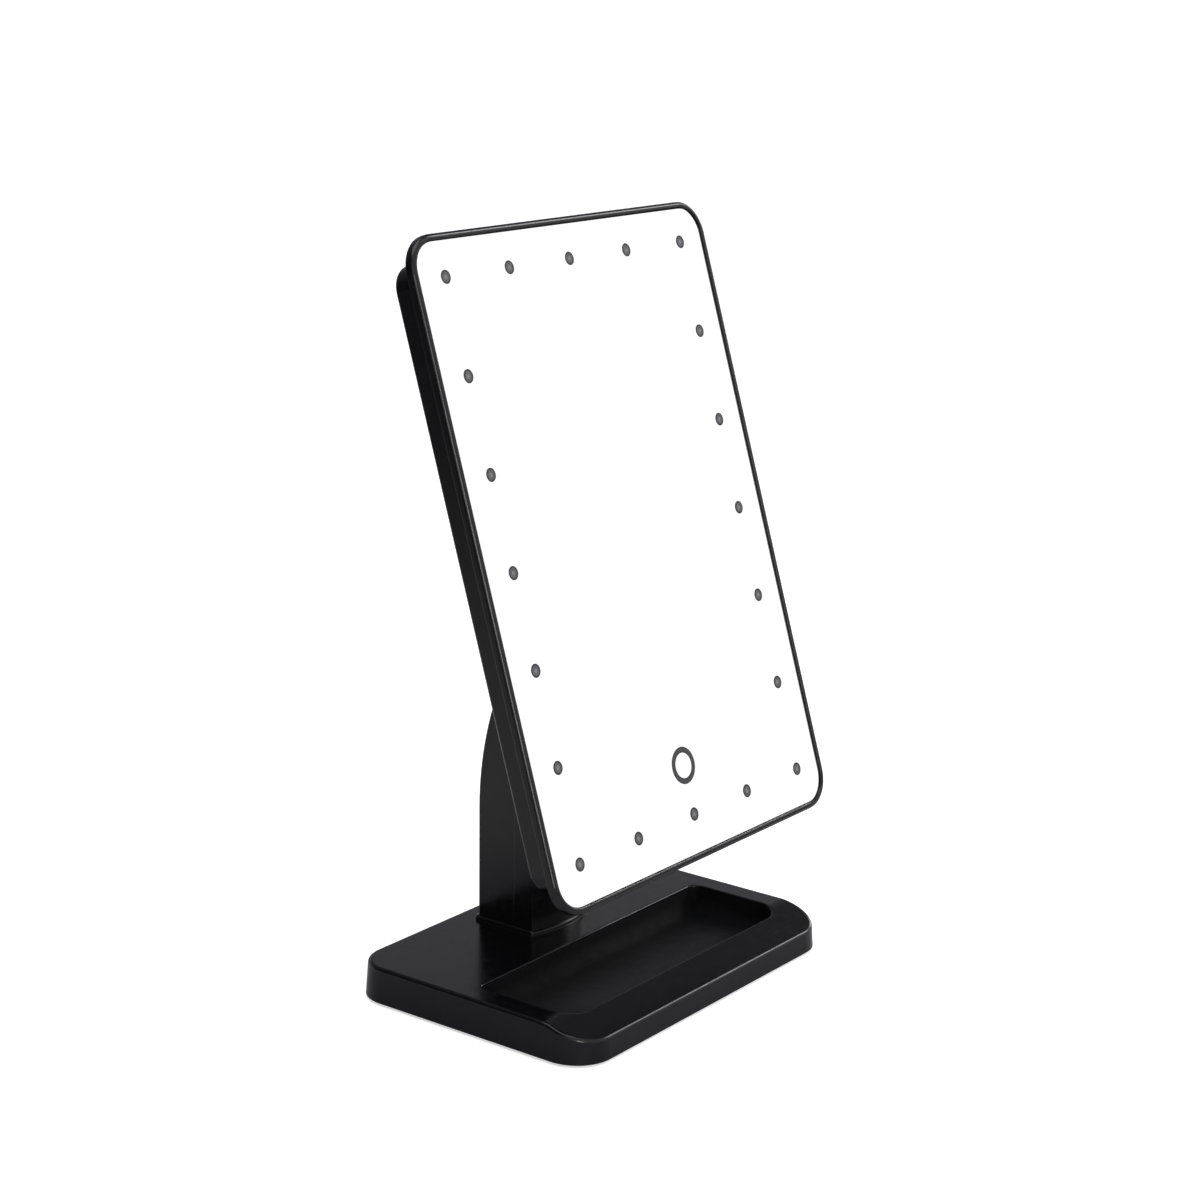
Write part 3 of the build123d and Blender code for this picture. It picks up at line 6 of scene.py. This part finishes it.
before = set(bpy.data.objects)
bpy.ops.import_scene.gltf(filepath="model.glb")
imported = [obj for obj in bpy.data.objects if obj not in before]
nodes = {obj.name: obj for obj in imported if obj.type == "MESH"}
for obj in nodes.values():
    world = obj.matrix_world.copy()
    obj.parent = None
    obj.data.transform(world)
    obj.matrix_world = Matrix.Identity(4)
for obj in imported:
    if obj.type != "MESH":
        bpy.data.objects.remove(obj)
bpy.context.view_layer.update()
scene = bpy.context.scene

# The head leans back by this angle, and its frame's centre is here, in metres.
TILT = math.radians(17.0)
HEAD_CENTRE = (0.0, -0.01554, 0.17198)
# The grid of lamp windows: its pitch across and up the glass, how far it sits above the frame's
# centre, and the radius of a window.
LED_PITCH = (0.03425, 0.03465)
GRID_RISE = 0.0007
WINDOW_R = 0.0025
# The touch ring: how far its centre is above the frame's, its middle radius and half its width.
RING_RISE = -0.0848
RING_MIDDLE = 0.0058
RING_HALF = 0.0011
# The base's tray: its middle and half size, across and along, and the heights between which its
# finish starts below the rim.
TRAY = ((0.0, 0.0675), (-0.01925, 0.02125))
TRAY_TOP, TRAY_IN = 0.0136, 0.0130
# The tray is this much rougher than the rest, its reflections are dimmed by this tint as painted shade,
# and the painted sheen on its floor has this colour.
TRAY_DULL = 0.55
TRAY_SHADE_TINT = (0.30, 0.30, 0.32, 1)
PAINTED_SHEEN = (0.022, 0.0215, 0.0245, 1)
# The painted sheen on the tray floor rises from the first place to the second: towards the front,
# from the left end and from the right end.
SHEEN_FRONT = (-0.005, -0.026)
SHEEN_LEFT = (-0.062, -0.030)
SHEEN_RIGHT = (0.068, 0.040)
# The printed film on a cell changes colour between these heights on the head.
CELL_BAND = (0.0420, 0.0426)


# ---------------------------------------------------------------- camera
AZIMUTH, ELEVATION, ROLL = (math.radians(v) for v in (-52.773, 14.631, 0.754))
DISTANCE = 0.973729
TARGET = Vector((0.005633, 0.004166, 0.144878))
LENS = 78.27


def make_camera():
    """The camera stands at this azimuth and elevation from the target, rolled a little."""
    back = Vector((
        math.sin(AZIMUTH) * math.cos(ELEVATION),
        -math.cos(AZIMUTH) * math.cos(ELEVATION),
        math.sin(ELEVATION),
    ))
    right = Vector((math.cos(AZIMUTH), math.sin(AZIMUTH), 0.0))
    up = back.cross(right)
    across = right * math.cos(ROLL) + up * math.sin(ROLL)
    above = up * math.cos(ROLL) - right * math.sin(ROLL)
    data = bpy.data.cameras.new("camera")
    data.sensor_width = 36.0
    data.lens = LENS
    data.clip_start, data.clip_end = 0.05, 60.0
    camera = bpy.data.objects.new("camera", data)
    scene.collection.objects.link(camera)
    turn = Matrix((across, above, back)).transposed().to_4x4()
    camera.matrix_world = Matrix.Translation(TARGET + back * DISTANCE) @ turn
    scene.camera = camera


make_camera()


# ---------------------------------------------------------------- node helpers
class Tree:
    """A short way to add nodes to a node tree and join them. An input named i0, i1 ... is that number."""

    def __init__(self, tree):
        self.tree = tree

    def add(self, kind, settings=None, **inputs):
        node = self.tree.nodes.new("ShaderNode" + kind)
        for key, value in (settings or {}).items():
            setattr(node, key, value)
        for key, value in inputs.items():
            self.put(node, key.replace("_", " "), value)
        return node

    def put(self, node, key, value):
        numbered = key[0] == "i" and key[1:].isdigit()
        socket = node.inputs[int(key[1:])] if numbered else node.inputs[key]
        if isinstance(value, bpy.types.NodeSocket):
            self.tree.links.new(value, socket)
        else:
            socket.default_value = value

    def math(self, operation, a, b=0.0, clamp=False):
        node = self.add("Math", {"operation": operation, "use_clamp": clamp})
        self.put(node, "i0", a)
        self.put(node, "i1", b)
        return node.outputs[0]

    def length(self, a, b):
        squares = [self.math("MULTIPLY", side, side) for side in (a, b)]
        return self.math("SQRT", self.math("ADD", *squares))

    def span(self, value, low, high, to_low=0.0, to_high=1.0):
        node = self.add("MapRange", {"interpolation_type": "SMOOTHSTEP"})
        for key, number in (("Value", value), ("From Min", low), ("From Max", high),
                            ("To Min", to_low), ("To Max", to_high)):
            self.put(node, key, number)
        return node.outputs[0]

    def mix(self, factor, a, b):
        node = self.add("Mix", {"data_type": "RGBA"})
        self.put(node, "i0", factor)
        self.put(node, "i6", a)
        self.put(node, "i7", b)
        return node.outputs[2]

    def noise(self, where, scale, detail=2.0, rough=0.5, stretch=None):
        if stretch:
            mapping = self.add("Mapping", {"vector_type": "POINT"}, Vector=where, Scale=stretch)
            where = mapping.outputs[0]
        node = self.add("TexNoise", Vector=where, Scale=scale, Detail=detail, Roughness=rough)
        return node.outputs[0]

    def bump(self, height, strength, distance, normal=None):
        node = self.add("Bump", Height=height, Strength=strength, Distance=distance)
        if normal is not None:
            self.put(node, "Normal", normal)
        return node.outputs[0]


def material(name):
    """A new material's tree, its shader node and the place of each point, in metres, at rest."""
    made = bpy.data.materials.new(name)
    made.use_nodes = True
    tree = Tree(made.node_tree)
    shader = made.node_tree.nodes["Principled BSDF"]
    where = tree.add("TexCoord").outputs["Object"]
    return made, tree, shader, where


def edge_mask(tree, radius):
    """1 on sharp edges and 0 on flat faces."""
    soft = tree.add("Bevel", {"samples": 6}, Radius=radius)
    flat = tree.add("NewGeometry")
    dot = tree.add("VectorMath", {"operation": "DOT_PRODUCT"})
    tree.put(dot, "i0", soft.outputs[0])
    tree.put(dot, "i1", flat.outputs["Normal"])
    return tree.span(dot.outputs["Value"], 0.985, 0.80), soft.outputs[0]


def in_tray(t, where):
    """1 on the floor and walls of the tray and 0 elsewhere."""
    parts = t.add("SeparateXYZ", Vector=where)
    inside = t.span(parts.outputs[2], TRAY_TOP, TRAY_IN)
    for number, (middle, half) in enumerate(TRAY):
        off = t.math("ABSOLUTE", t.math("SUBTRACT", parts.outputs[number], middle))
        inside = t.math("MULTIPLY", inside, t.span(off, half + 0.0002, half))
    return inside


# How much lighter worn plastic is, and how much of it shows on a rubbed edge.
WEAR_LIFT = 4.0
WORN = 0.25


def moulded(name, dark, light, rough, grain, tray=False):
    """Injection-moulded plastic: fine spark-eroded grain, faint flow marks, light wear on edges.

    The base's tray has a coarser, rougher finish than the rest, with its reflections dimmed as painted
    shade and a painted sheen on its floor.
    """
    made, t, shader, where = material(name)
    edge, soft = edge_mask(t, 0.0005)
    flow = t.noise(where, 38.0, 3.0)
    haze = t.noise(where, 210.0, 4.0, 0.6)
    fine = t.noise(where, 2600.0, 2.0)
    hair = t.noise(where, 420.0, 2.0, 0.5, (0.12, 1.0, 1.0))
    scuff = t.span(hair, 0.64, 0.72)
    rub = t.math("MULTIPLY", edge, t.span(haze, 0.38, 0.7), True)
    colour = t.mix(flow, dark, light)
    bare = tuple(min(1.0, c * WEAR_LIFT) for c in light[:3]) + (1.0,)
    colour = t.mix(t.math("MULTIPLY", rub, WORN), colour, bare)
    roughness = t.span(haze, 0.25, 0.75, rough - 0.05, rough + 0.05)
    roughness = t.math("ADD", roughness, t.math("MULTIPLY", scuff, 0.05))
    roughness = t.math("ADD", roughness, t.math("MULTIPLY", rub, -0.06), True)
    waves = t.bump(flow, 0.25, 0.00012, soft)
    normal = t.bump(fine, grain, 0.00002, waves)
    t.put(shader, "Base Color", colour)
    t.put(shader, "Roughness", roughness)
    t.put(shader, "Normal", normal)
    shader.inputs["Specular IOR Level"].default_value = 0.3
    if tray:
        inside = in_tray(t, where)
        duller = t.math("ADD", roughness, t.math("MULTIPLY", inside, TRAY_DULL), True)
        t.put(shader, "Roughness", duller)
        # painted sheen: the floor is painted a little lighter towards the front and away from both ends
        across, depth = (t.add("SeparateXYZ", Vector=where).outputs[number] for number in (0, 1))
        painted_sheen = t.math("MULTIPLY", t.span(depth, *SHEEN_FRONT), t.span(across, *SHEEN_LEFT))
        painted_sheen = t.math("MULTIPLY", painted_sheen, t.span(across, *SHEEN_RIGHT))
        t.put(shader, "Base Color", t.mix(t.math("MULTIPLY", inside, painted_sheen), colour, PAINTED_SHEEN))
        # painted shade: this tint dims the reflections inside the tray
        t.put(shader, "Specular Tint", t.mix(inside, (1, 1, 1, 1), TRAY_SHADE_TINT))
    return made


def metal(name, colour, shade, rough, brushed=(1.0, 1.0, 0.08)):
    """Plated or bare steel with fine drawn lines and dull patches."""
    made, t, shader, where = material(name)
    lines = t.noise(where, 1500.0, 3.0, 0.6, brushed)
    patches = t.noise(where, 260.0, 4.0, 0.6)
    t.put(shader, "Base Color", t.mix(t.span(patches, 0.35, 0.7), colour, shade))
    t.put(shader, "Roughness", t.span(patches, 0.3, 0.7, rough - 0.06, rough + 0.1))
    t.put(shader, "Normal", t.bump(lines, 0.25, 0.00003))
    shader.inputs["Metallic"].default_value = 1.0
    return made


def mirror_silver():
    """Silvered glass: nearly perfect, with a faint bloom left by cleaning."""
    made, t, shader, where = material("mirror_silver")
    bloom = t.noise(where, 22.0, 5.0, 0.6)
    wipes = t.noise(where, 90.0, 2.0, 0.5, (1.0, 0.25, 0.25))
    film = t.math("MULTIPLY", t.span(bloom, 0.45, 0.8), t.span(wipes, 0.4, 0.7), True)
    t.put(shader, "Base Color", t.mix(film, (0.955, 0.965, 0.965, 1), (0.93, 0.94, 0.94, 1)))
    t.put(shader, "Roughness", t.math("MULTIPLY", film, 0.05))
    t.put(shader, "Normal", t.bump(bloom, 0.02, 0.00002))
    shader.inputs["Metallic"].default_value = 1.0
    return made


def head_plane(t, where):
    """Each point's place on the mirror, measured from the mirror's centre, across and up it."""
    at = t.add("Mapping", {"vector_type": "TEXTURE"}, Vector=where,
               Location=HEAD_CENTRE, Rotation=(-TILT, 0.0, 0.0))
    parts = t.add("SeparateXYZ", Vector=at.outputs[0])
    return parts.outputs[0], parts.outputs[2]


def frosted():
    """A window etched through the silver before each lamp: hazy grey, with painted shade in a dark ring
    at its edge where the silver stops.
    """
    made, t, shader, where = material("frosted_glass")
    across, along = head_plane(t, where)
    offsets = []
    for value, pitch in zip((across, t.math("SUBTRACT", along, GRID_RISE)), LED_PITCH):
        nearest = t.math("MULTIPLY", t.math("ROUND", t.math("DIVIDE", value, pitch)), pitch)
        offsets.append(t.math("SUBTRACT", value, nearest))
    across, along = offsets
    reach = t.length(across, along)
    # painted shade: a dark ring where the window meets the silver
    rim = t.span(reach, WINDOW_R * 0.58, WINDOW_R * 0.88)
    etch = t.noise(where, 2400.0, 3.0, 0.7)
    lamp = t.span(reach, WINDOW_R * 0.42, WINDOW_R * 0.2)
    body = t.mix(t.span(etch, 0.3, 0.7), (0.058, 0.058, 0.066, 1), (0.105, 0.105, 0.116, 1))
    body = t.mix(t.math("MULTIPLY", lamp, 0.55), body, (0.22, 0.22, 0.225, 1))
    # the dark colour here is the painted shade ring at the window's edge
    t.put(shader, "Base Color", t.mix(rim, body, (0.014, 0.014, 0.016, 1)))
    t.put(shader, "Roughness", t.span(etch, 0.2, 0.8, 0.42, 0.62))
    t.put(shader, "Normal", t.bump(etch, 0.35, 0.00003))
    shader.inputs["Specular IOR Level"].default_value = 0.35
    return made


def ring_ink():
    """The touch ring: the silver is cut away here and the dark backing shows, darkest at both rims."""
    made, t, shader, where = material("ring_ink")
    across, along = head_plane(t, where)
    along = t.math("SUBTRACT", along, RING_RISE)
    reach = t.length(across, along)
    off = t.math("ABSOLUTE", t.math("SUBTRACT", reach, RING_MIDDLE))
    rim = t.span(off, RING_HALF * 0.35, RING_HALF * 0.9)
    speckle = t.noise(where, 1800.0, 3.0, 0.7)
    body = t.mix(t.span(speckle, 0.35, 0.65), (0.022, 0.022, 0.025, 1), (0.040, 0.040, 0.044, 1))
    t.put(shader, "Base Color", t.mix(rim, body, (0.007, 0.007, 0.008, 1)))
    t.put(shader, "Roughness", t.span(speckle, 0.3, 0.7, 0.3, 0.45))
    t.put(shader, "Normal", t.bump(speckle, 0.12, 0.00002))
    return made


def speckled(name, dark, light, rough, scale, depth=0.3, specular=0.5):
    """A two-tone surface with a fine even grain, for rubber, foam, coatings and jackets."""
    made, t, shader, where = material(name)
    grain = t.noise(where, scale, 3.0, 0.65)
    broad = t.noise(where, scale * 0.06, 2.0)
    tone = t.math("MULTIPLY", t.math("ADD", grain, broad), 0.5)
    t.put(shader, "Base Color", t.mix(t.span(tone, 0.35, 0.65), dark, light))
    t.put(shader, "Roughness", t.span(grain, 0.25, 0.75, rough - 0.08, rough + 0.08))
    t.put(shader, "Normal", t.bump(grain, depth, 0.00004))
    shader.inputs["Specular IOR Level"].default_value = specular
    return made


def circuit(name, mask, copper, pitch):
    """Solder mask over thin copper tracks."""
    made, t, shader, where = material(name)
    across, along = head_plane(t, where)
    bend = t.noise(where, 120.0, 1.0)
    lane = t.math("ADD", t.math("DIVIDE", across, pitch), t.math("MULTIPLY", bend, 1.5))
    track = t.span(t.math("ABSOLUTE", t.math("SUBTRACT", t.math("FRACT", lane), 0.5)), 0.16, 0.12)
    pads = t.add("TexVoronoi", {"feature": "F1"}, Vector=where, Scale=0.55 / pitch)
    pad = t.span(pads.outputs["Distance"], 0.17, 0.13)
    t.put(shader, "Base Color", t.mix(t.math("MAXIMUM", track, pad), mask, copper))
    t.put(shader, "Roughness", t.span(t.noise(where, 600.0), 0.3, 0.7, 0.28, 0.42))
    t.put(shader, "Normal", t.bump(t.math("MAXIMUM", track, pad), 0.3, 0.00004))
    return made


def cell_jacket():
    """A plain printed film on each cell, two-coloured along its length."""
    made, t, shader, where = material("cell_jacket")
    across, along = head_plane(t, where)
    wrinkle = t.noise(where, 260.0, 2.0, 0.5, (1.0, 1.0, 0.2))
    band = t.span(t.math("ADD", along, t.math("MULTIPLY", wrinkle, 0.0004)), *CELL_BAND)
    t.put(shader, "Base Color", t.mix(band, (0.025, 0.05, 0.10, 1), (0.55, 0.42, 0.20, 1)))
    t.put(shader, "Roughness", t.span(wrinkle, 0.3, 0.7, 0.22, 0.36))
    t.put(shader, "Normal", t.bump(wrinkle, 0.15, 0.00005))
    return made


SATIN = (0.0022, 0.0022, 0.0027, 1), (0.0036, 0.0036, 0.0043, 1), 0.20, 0.03
BLACK = moulded("satin_black", *SATIN)
BASE = moulded("satin_black_base", *SATIN, tray=True)
DARK = moulded("matt_black", (0.010, 0.010, 0.011, 1), (0.016, 0.016, 0.017, 1), 0.50, 0.35)
HINGE = moulded("hinge_black", (0.008, 0.008, 0.009, 1), (0.014, 0.014, 0.015, 1), 0.38, 0.2)
BLACKENED = metal("blackened_steel", (0.030, 0.030, 0.033, 1), (0.075, 0.072, 0.070, 1), 0.38)
STEEL = metal("zinc_steel", (0.60, 0.61, 0.62, 1), (0.42, 0.43, 0.45, 1), 0.28)
NICKEL = metal("nickel_strip", (0.66, 0.64, 0.58, 1), (0.50, 0.48, 0.43, 1), 0.24)
SPRING = metal("spring_wire", (0.50, 0.50, 0.52, 1), (0.36, 0.36, 0.37, 1), 0.22)
LOOKS = {
    "black_abs": BLACK,
    "dark_abs": DARK,
    "hinge_plastic": HINGE,
    "black_screw": BLACKENED,
    "steel": STEEL,
    "contact": NICKEL,
    "spring_steel": SPRING,
    "mirror": mirror_silver(),
    "frosted_window": frosted(),
    "ring_print": ring_ink(),
    "tape": speckled("foam_tape", (0.55, 0.54, 0.50, 1), (0.72, 0.71, 0.67, 1), 0.8, 1500.0, 0.6),
    "white_board": circuit("white_solder_mask", (0.74, 0.74, 0.71, 1), (0.62, 0.60, 0.54, 1), 0.004),
    "green_board": circuit("green_solder_mask", (0.010, 0.10, 0.035, 1), (0.03, 0.19, 0.06, 1), 0.0015),
    "chips": speckled("chip_epoxy", (0.018, 0.018, 0.019, 1), (0.032, 0.032, 0.033, 1), 0.55, 3000.0),
    "led_package": speckled("lamp_phosphor", (0.78, 0.66, 0.22, 1), (0.88, 0.80, 0.42, 1),
                            0.4, 2200.0, 0.2),
    "cell_jacket": cell_jacket(),
    "rubber": speckled("foot_rubber", (0.016, 0.016, 0.017, 1), (0.030, 0.030, 0.031, 1),
                       0.72, 1300.0, 0.5, 0.35),
    "wire_jacket": speckled("wire_jacket", (0.40, 0.022, 0.018, 1), (0.52, 0.035, 0.028, 1),
                            0.4, 900.0, 0.15),
}


def dress():
    """Every CAD node takes the finish of its record slot, and the base its own, with the rougher tray,
    its painted shade and the painted sheen on its floor.
    """
    for node in nodes.values():
        for place in node.material_slots:
            slot = place.material.name.split(".")[0]
            place.material = LOOKS[slot]
    nodes["base_shell"].material_slots[0].material = BASE


dress()


# ---------------------------------------------------------------- stage and light
# Soft boxes: direction, half angle of the even part, width of the soft edge, radiance.
SOFT_BOXES = (
    ((0.77, -0.35, 0.53), 5.0, 5.0, 11.0),
    ((-0.63, -0.76, 0.15), 6.0, 5.0, 12.0),
    ((0.95, 0.05, 0.27), 7.0, 6.0, 4.0),
)
# The studio's white, just over full so that it stays clear of grey in the picture.
WHITE = (1.08, 1.08, 1.08, 1)
FLOOR_HALF = 6.0
LAMP_PLACE = Vector((-0.2, 0.1, 1.5))


def make_world():
    """Soft white before the mirror, dimmer grey behind it, dark at the left, and three soft boxes."""
    world = bpy.data.worlds.new("studio")
    scene.world = world
    world.use_nodes = True
    t = Tree(world.node_tree)
    sky = world.node_tree.nodes["Background"]
    direction = t.add("TexCoord").outputs["Generated"]
    parts = t.add("SeparateXYZ", Vector=direction)
    behind = t.span(parts.outputs[1], -0.48, 0.10)
    high = t.span(parts.outputs[2], 0.32, 0.50)
    rear = t.mix(high, (0.405, 0.40, 0.44, 1), (0.16, 0.158, 0.18, 1))
    left = t.span(parts.outputs[0], -0.20, -0.50)
    rear = t.mix(left, rear, (0.05, 0.05, 0.055, 1))
    light = t.mix(behind, WHITE, rear)
    for aim, wide, soft, power in SOFT_BOXES:
        dot = t.add("VectorMath", {"operation": "DOT_PRODUCT"},
                    i0=direction, i1=Vector(aim).normalized())
        outer, inner = (math.cos(math.radians(angle)) for angle in (wide + soft, wide))
        inside = t.span(dot.outputs["Value"], outer, inner)
        light = t.mix(inside, light, (power, power, power, 1))
    seen = t.add("LightPath").outputs["Is Camera Ray"]
    t.put(sky, "Color", t.mix(seen, light, WHITE))


def make_floor():
    """A pale sheet of paper, with painted shade that shows only in reflections: darker there than the
    camera sees it.
    """
    mesh = bpy.data.meshes.new("floor")
    corners = [(x * FLOOR_HALF, y * FLOOR_HALF, 0) for x, y in ((-1, -1), (1, -1), (1, 1), (-1, 1))]
    mesh.from_pydata(corners, [], [(0, 1, 2, 3)])
    floor = bpy.data.objects.new("floor", mesh)
    scene.collection.objects.link(floor)
    made = bpy.data.materials.new("paper_sweep")
    made.use_nodes = True
    t = Tree(made.node_tree)
    shader = made.node_tree.nodes["Principled BSDF"]
    where = t.add("TexCoord").outputs["Object"]
    fibre = t.noise(where, 900.0, 3.0)
    near = t.mix(fibre, (0.78, 0.78, 0.78, 1), (0.82, 0.82, 0.82, 1))
    shader.inputs["Roughness"].default_value = 0.9
    shader.inputs["Specular IOR Level"].default_value = 0.1
    seen = t.add("LightPath").outputs["Is Camera Ray"]
    # painted shade in reflections only: a painted shadow under the object, a painted falloff far away and
    # painted shade at the far right
    reach = t.add("VectorMath", {"operation": "LENGTH"}, i0=where)
    painted_falloff_far = t.span(reach.outputs["Value"], 0.10, 1.30)
    painted_shadow_under = t.span(reach.outputs["Value"], 0.22, 0.09)
    mirrored = t.mix(painted_shadow_under, t.mix(painted_falloff_far, near, (0.158, 0.156, 0.17, 1)), (0.45, 0.445, 0.49, 1))
    # painted shade: the paper is darker in reflections towards the far right
    right = t.span(t.add("SeparateXYZ", Vector=where).outputs[0], 0.20, 0.80)
    mirrored = t.mix(right, mirrored, (0.03, 0.03, 0.033, 1))
    t.put(shader, "Base Color", t.mix(seen, mirrored, near))
    shader.inputs["Emission Color"].default_value = (1, 1, 1, 1)
    t.put(shader, "Emission Strength", t.math("MULTIPLY", seen, 0.55))
    mesh.materials.append(made)


def make_lamp():
    """The one lamp: a large square soft light overhead, aimed at the base."""
    data = bpy.data.lights.new("overhead", "AREA")
    data.shape = "RECTANGLE"
    data.size = data.size_y = 1.1
    data.energy = 11.0
    lamp = bpy.data.objects.new("overhead", data)
    scene.collection.objects.link(lamp)
    lamp.location = LAMP_PLACE
    lamp.rotation_mode = "QUATERNION"
    lamp.rotation_quaternion = (-LAMP_PLACE).to_track_quat("-Z", "Y")
    lamp.visible_camera = False


make_world()
make_floor()
make_lamp()

scene.view_settings.view_transform = "Standard"
scene.view_settings.look = "None"
scene.view_settings.exposure = 0.0
scene.view_settings.gamma = 1.0
